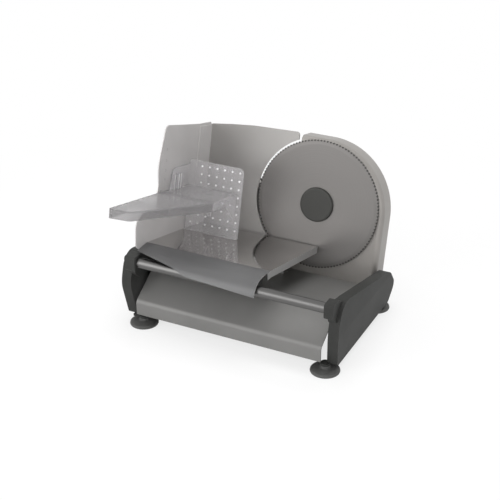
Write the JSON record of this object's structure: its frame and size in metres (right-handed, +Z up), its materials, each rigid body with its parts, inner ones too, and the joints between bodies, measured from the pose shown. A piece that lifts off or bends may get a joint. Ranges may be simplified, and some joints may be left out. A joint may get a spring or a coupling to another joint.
{
  "type": "electric food slicer",
  "caption": "Compact electric food slicer with a tilted round blade, sliding food carriage on a front rail, clear pusher, adjustable gauge plate and suction feet.",
  "frame": {"origin": "on the ground, in the middle of the overall box", "axes": "+X along the front rail to the blade side, +Y from the operator to the back, +Z up"},
  "size_m": [0.3305, 0.3462, 0.266],
  "materials": {
    "deck_grey": "satin grey paint",
    "silver_plastic": "satin silver grey",
    "black_plastic": "matte black",
    "hub_black": "matte black",
    "foot_rubber": "matte black rubber",
    "rail_chrome": "polished",
    "tray_steel": "polished steel sheet",
    "wall_steel": "satin steel sheet",
    "blade_steel": "ground steel",
    "gauge_alu": "satin",
    "clear_plastic": "clear moulded plastic",
    "zinc_steel": "bright zinc",
    "gear_nylon": "natural nylon",
    "brass": "turned"
  },
  "bodies": {
    "base": {"base_deck": "deck_grey", "left_leg": "black_plastic", "right_leg": "black_plastic", "leg_screws": "zinc_steel", "deck_screws": "zinc_steel", "front_left_foot": "foot_rubber", "front_right_foot": "foot_rubber", "rear_left_foot": "foot_rubber", "rear_right_foot": "foot_rubber", "front_rail": "rail_chrome", "rear_guide": "zinc_steel", "main_housing": "silver_plastic", "rear_cover": "silver_plastic", "cover_screws": "zinc_steel", "gear_plate": "zinc_steel", "gear_plate_screws": "zinc_steel", "front_bush": "brass", "rear_bush": "brass", "idler_axle": "zinc_steel", "motor_can": "zinc_steel", "motor_end_cap": "black_plastic", "motor_screws": "zinc_steel", "gauge_support": "silver_plastic", "switch_body": "black_plastic", "safety_switch": "black_plastic", "cord_grommet": "foot_rubber"},
    "blade_unit": {"blade": "blade_steel", "blade_shaft": "zinc_steel", "blade_gear": "gear_nylon"},
    "hub_lock": {"hub_cap": "hub_black"},
    "idler": {"idler_gear": "gear_nylon"},
    "rotor": {"motor_shaft": "zinc_steel", "motor_pinion": "brass", "cooling_fan": "gear_nylon"},
    "gauge": {"gauge_plate": "gauge_alu", "gauge_carrier": "black_plastic", "left_guide_rod": "zinc_steel", "right_guide_rod": "zinc_steel"},
    "knob": {"thickness_spindle": "zinc_steel", "thickness_knob": "black_plastic"},
    "rocker": {"power_rocker": "black_plastic"},
    "button": {"safety_button": "black_plastic"},
    "carriage": {"carriage_tray": "tray_steel", "carriage_wall": "wall_steel", "left_glide": "black_plastic", "right_glide": "black_plastic", "rear_shoe": "black_plastic"},
    "pusher": {"food_pusher": "clear_plastic"}
  },
  "joints": [
    {"name": "blade_spin", "type": "hinge", "parent": "base", "child": "blade_unit", "pos_m": [0.0415, 0.10082, 0.1375], "axis": [0, 0.9744, -0.225], "continuous": true},
    {"name": "hub_turn", "type": "hinge", "parent": "blade_unit", "child": "hub_lock", "pos_m": [0.0415, 0.10082, 0.1375], "axis": [0, 0.9744, -0.225], "range_deg": [0, 45]},
    {"name": "idler_spin", "type": "hinge", "parent": "base", "child": "idler", "pos_m": [0.0415, 0.08901, 0.08635], "axis": [0, 0.9744, -0.225], "continuous": true},
    {"name": "rotor_spin", "type": "hinge", "parent": "base", "child": "rotor", "pos_m": [0.0115, 0.08901, 0.08635], "axis": [0, 0.9744, -0.225], "continuous": true},
    {"name": "carriage_slide", "type": "slide", "parent": "base", "child": "carriage", "axis": [1, 0, 0], "range_m": [0, 0.09]},
    {"name": "pusher_slide", "type": "slide", "parent": "carriage", "child": "pusher", "axis": [0, 0.9744, -0.225], "range_m": [-0.087, 0.05]},
    {"name": "knob_turn", "type": "hinge", "parent": "base", "child": "knob", "pos_m": [-0.0815, 0.09857, 0.12776], "axis": [0, 0.9744, -0.225], "range_deg": [0, 301]},
    {"name": "gauge_slide", "type": "slide", "parent": "base", "child": "gauge", "axis": [0, 0.9744, -0.225], "range_m": [0, 0.015]},
    {"name": "rocker_tilt", "type": "hinge", "parent": "base", "child": "rocker", "pos_m": [0.1035, 0.14051, 0.16939], "axis": [1, 0, 0], "range_deg": [0, 16]},
    {"name": "button_press", "type": "slide", "parent": "base", "child": "button", "axis": [0, -0.9744, 0.225], "range_m": [0, 0.003], "stiffness_N_per_m": 400}
  ],
  "couplings": [
    {"joint": "idler_spin", "follows": "blade_spin", "ratio": -5},
    {"joint": "rotor_spin", "follows": "blade_spin", "ratio": 20},
    {"joint": "knob_turn", "follows": "gauge_slide", "rad_per_m": 349.07}
  ]
}
